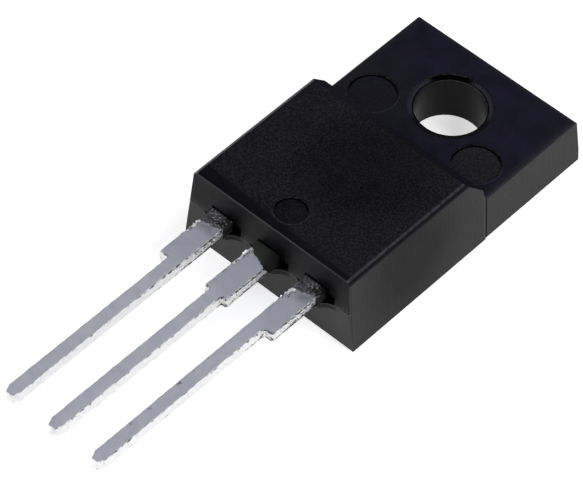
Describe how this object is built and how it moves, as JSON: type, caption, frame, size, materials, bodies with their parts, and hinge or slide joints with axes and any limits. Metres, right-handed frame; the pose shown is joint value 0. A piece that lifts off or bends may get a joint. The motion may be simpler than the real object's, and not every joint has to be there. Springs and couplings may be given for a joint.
{
  "type": "power transistor",
  "caption": "Fully moulded, isolated power transistor with a screw tab and flat shouldered leads for through-hole soldering.",
  "frame": {"origin": "centre of the screw hole on the flat back face that goes against a heat sink", "axes": "+X across the leads, towards the load lead, +Y from the lead tips towards the tab end, +Z from the back face towards the top face"},
  "size_m": [0.0102, 0.0295, 0.0044],
  "materials": {
    "epoxy_moulding": "fine matte epoxy moulding",
    "tinned_lead": "matte tin plating",
    "silicon": "polished silicon",
    "solder": "dull solder",
    "bond_wire": "drawn wire"
  },
  "bodies": {
    "root": {"mould_body": "epoxy_moulding", "centre_lead_and_pad": "tinned_lead", "left_lead": "tinned_lead", "right_lead": "tinned_lead", "silicon_die": "silicon", "die_solder": "solder", "control_wire": "bond_wire", "load_wire": "bond_wire"}
  },
  "joints": []
}
